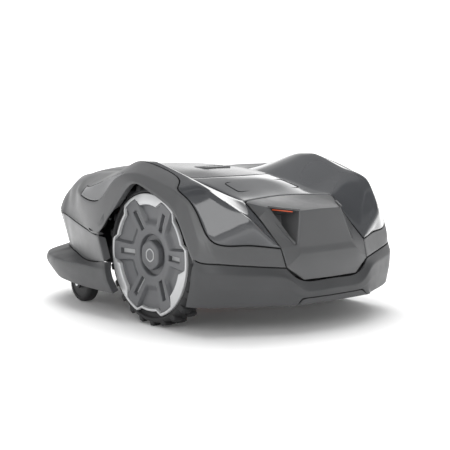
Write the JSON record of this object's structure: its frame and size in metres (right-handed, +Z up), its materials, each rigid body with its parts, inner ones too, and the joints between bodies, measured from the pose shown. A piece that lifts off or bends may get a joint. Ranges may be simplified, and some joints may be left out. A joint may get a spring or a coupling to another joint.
{
  "type": "robotic lawn mower",
  "caption": "Robotic lawn mower: floating grey body cover over a wheeled chassis with spoked drive wheels, swivelling casters and a height-adjusted cutting disc.",
  "frame": {"origin": "on the ground under the middle of the overall box", "axes": "+Z up, -Y the way the mower drives forwards, +X its own left side"},
  "size_m": [0.499, 0.656, 0.2796],
  "materials": {
    "cover_grey": "fine grained",
    "deck_gloss": "gloss",
    "bumper_grey": "fine grained",
    "window_gloss": "satin",
    "button_grey": "satin",
    "accent_orange": "satin",
    "plate_grey": "satin",
    "frame_black": "matte",
    "tyre_black": "matte",
    "rim_black": "matte",
    "wheel_grey": "fine grained",
    "ring_silver": "satin silver",
    "steel": "brushed",
    "chassis_black": "matte",
    "seal_rubber": "matte",
    "bush_nylon": "satin",
    "motor_alloy": "satin",
    "battery_blue": "satin",
    "board_green": "satin",
    "contact_brass": "polished",
    "post_rubber": "matte",
    "disc_orange": "satin",
    "blade_steel": "polished edge"
  },
  "bodies": {
    "chassis": {"chassis_tray": "chassis_black", "chassis_seal": "seal_rubber", "chassis_lid": "chassis_black", "chassis_screws": "steel", "caster_bushes": "bush_nylon", "axle_bearings": "steel", "drive_motor_left": "motor_alloy", "drive_motor_right": "motor_alloy", "battery_pack": "battery_blue", "main_board": "board_green", "height_motor": "motor_alloy", "charge_contacts": "contact_brass", "control_console": "frame_black"},
    "jog_dial": {"jog_dial": "accent_orange"},
    "power_button": {"power_button": "button_grey"},
    "float_posts": {"float_posts": "post_rubber"},
    "cover": {"top_cover": "cover_grey", "deck_cover": "deck_gloss", "nose_cover": "cover_grey", "front_bumper": "bumper_grey", "rear_skirt": "cover_grey", "service_plate": "bumper_grey", "rear_module": "cover_grey", "side_window_left": "window_gloss", "side_window_right": "window_gloss", "grip_strips": "accent_orange", "name_plate": "plate_grey", "cover_frame": "frame_black"},
    "hatch": {"hatch_panel": "cover_grey", "hatch_pin": "steel"},
    "stop_button": {"stop_button": "button_grey"},
    "cutting_unit": {"cut_motor": "motor_alloy"},
    "height_spindle": {"height_spindle": "steel"},
    "disc": {"blade_disc": "disc_orange", "blade_screws": "steel"},
    "blade_1": {"blade_1": "blade_steel"},
    "blade_2": {"blade_2": "blade_steel"},
    "blade_3": {"blade_3": "blade_steel"},
    "skid_plate": {"skid_plate": "rim_black"},
    "wheel_left": {"drive_tyre_left": "tyre_black", "drive_rim_left": "rim_black", "wheel_cover_left": "wheel_grey", "wheel_ring_left": "ring_silver", "hub_cap_left": "wheel_grey", "wheel_axle_left": "steel"},
    "caster_left": {"caster_fork_left": "rim_black", "caster_axle_left": "steel"},
    "caster_wheel_left": {"caster_tyre_left": "tyre_black", "caster_rim_left": "rim_black"},
    "wheel_right": {"drive_tyre_right": "tyre_black", "drive_rim_right": "rim_black", "wheel_cover_right": "wheel_grey", "wheel_ring_right": "ring_silver", "hub_cap_right": "wheel_grey", "wheel_axle_right": "steel"},
    "caster_right": {"caster_fork_right": "rim_black", "caster_axle_right": "steel"},
    "caster_wheel_right": {"caster_tyre_right": "tyre_black", "caster_rim_right": "rim_black"}
  },
  "joints": [
    {"name": "wheel_left_spin", "type": "hinge", "parent": "chassis", "child": "wheel_left", "pos_m": [0.203, 0.1025, 0.1225], "axis": [1, 0, 0], "continuous": true},
    {"name": "caster_left_swivel", "type": "hinge", "parent": "chassis", "child": "caster_left", "pos_m": [0.176, -0.16, 0.1045], "axis": [0, 0, 1], "continuous": true},
    {"name": "caster_left_roll", "type": "hinge", "parent": "caster_left", "child": "caster_wheel_left", "pos_m": [0.176, -0.172, 0.035], "axis": [1, 0, 0], "continuous": true},
    {"name": "wheel_right_spin", "type": "hinge", "parent": "chassis", "child": "wheel_right", "pos_m": [-0.203, 0.1025, 0.1225], "axis": [1, 0, 0], "continuous": true},
    {"name": "caster_right_swivel", "type": "hinge", "parent": "chassis", "child": "caster_right", "pos_m": [-0.176, -0.16, 0.1045], "axis": [0, 0, 1], "continuous": true},
    {"name": "caster_right_roll", "type": "hinge", "parent": "caster_right", "child": "caster_wheel_right", "pos_m": [-0.176, -0.172, 0.035], "axis": [1, 0, 0], "continuous": true},
    {"name": "cut_height", "type": "slide", "parent": "chassis", "child": "cutting_unit", "axis": [0, 0, 1], "range_m": [0, 0.04]},
    {"name": "height_spindle_turn", "type": "hinge", "parent": "chassis", "child": "height_spindle", "pos_m": [0, 0.018, 0.1145], "axis": [0, 0, 1], "range_deg": [0, 1440]},
    {"name": "disc_spin", "type": "hinge", "parent": "cutting_unit", "child": "disc", "pos_m": [0, -0.035, 0.0305], "axis": [0, 0, 1], "continuous": true},
    {"name": "blade_1_swing", "type": "hinge", "parent": "disc", "child": "blade_1", "pos_m": [0, 0.061, 0.0267], "axis": [0, 0, 1], "continuous": true},
    {"name": "blade_2_swing", "type": "hinge", "parent": "disc", "child": "blade_2", "pos_m": [-0.08314, -0.083, 0.0267], "axis": [0, 0, 1], "continuous": true},
    {"name": "blade_3_swing", "type": "hinge", "parent": "disc", "child": "blade_3", "pos_m": [0.08314, -0.083, 0.0267], "axis": [0, 0, 1], "continuous": true},
    {"name": "skid_plate_spin", "type": "hinge", "parent": "disc", "child": "skid_plate", "pos_m": [0, -0.035, 0.0205], "axis": [0, 0, 1], "continuous": true},
    {"name": "bump_float", "type": "slide", "parent": "chassis", "child": "float_posts", "axis": [0, 1, 0], "range_m": [-0.001, 0.006], "stiffness_N_per_m": 2500},
    {"name": "lift_float", "type": "slide", "parent": "float_posts", "child": "cover", "axis": [0, 0, 1], "range_m": [0, 0.01]},
    {"name": "hatch_hinge", "type": "hinge", "parent": "cover", "child": "hatch", "pos_m": [0, -0.1632, 0.2544], "axis": [1, 0, 0], "range_deg": [0, 90]},
    {"name": "stop_press", "type": "slide", "parent": "hatch", "child": "stop_button", "axis": [0, 0, -1], "range_m": [0, 0.003], "stiffness_N_per_m": 900},
    {"name": "jog_dial_turn", "type": "hinge", "parent": "chassis", "child": "jog_dial", "pos_m": [0, -0.03, 0.2305], "axis": [0, 0, 1], "continuous": true},
    {"name": "power_press", "type": "slide", "parent": "chassis", "child": "power_button", "axis": [0, 0, -1], "range_m": [0, 0.002], "stiffness_N_per_m": 600}
  ],
  "couplings": [
    {"joint": "height_spindle_turn", "follows": "cut_height", "rad_per_m": 628.32}
  ]
}
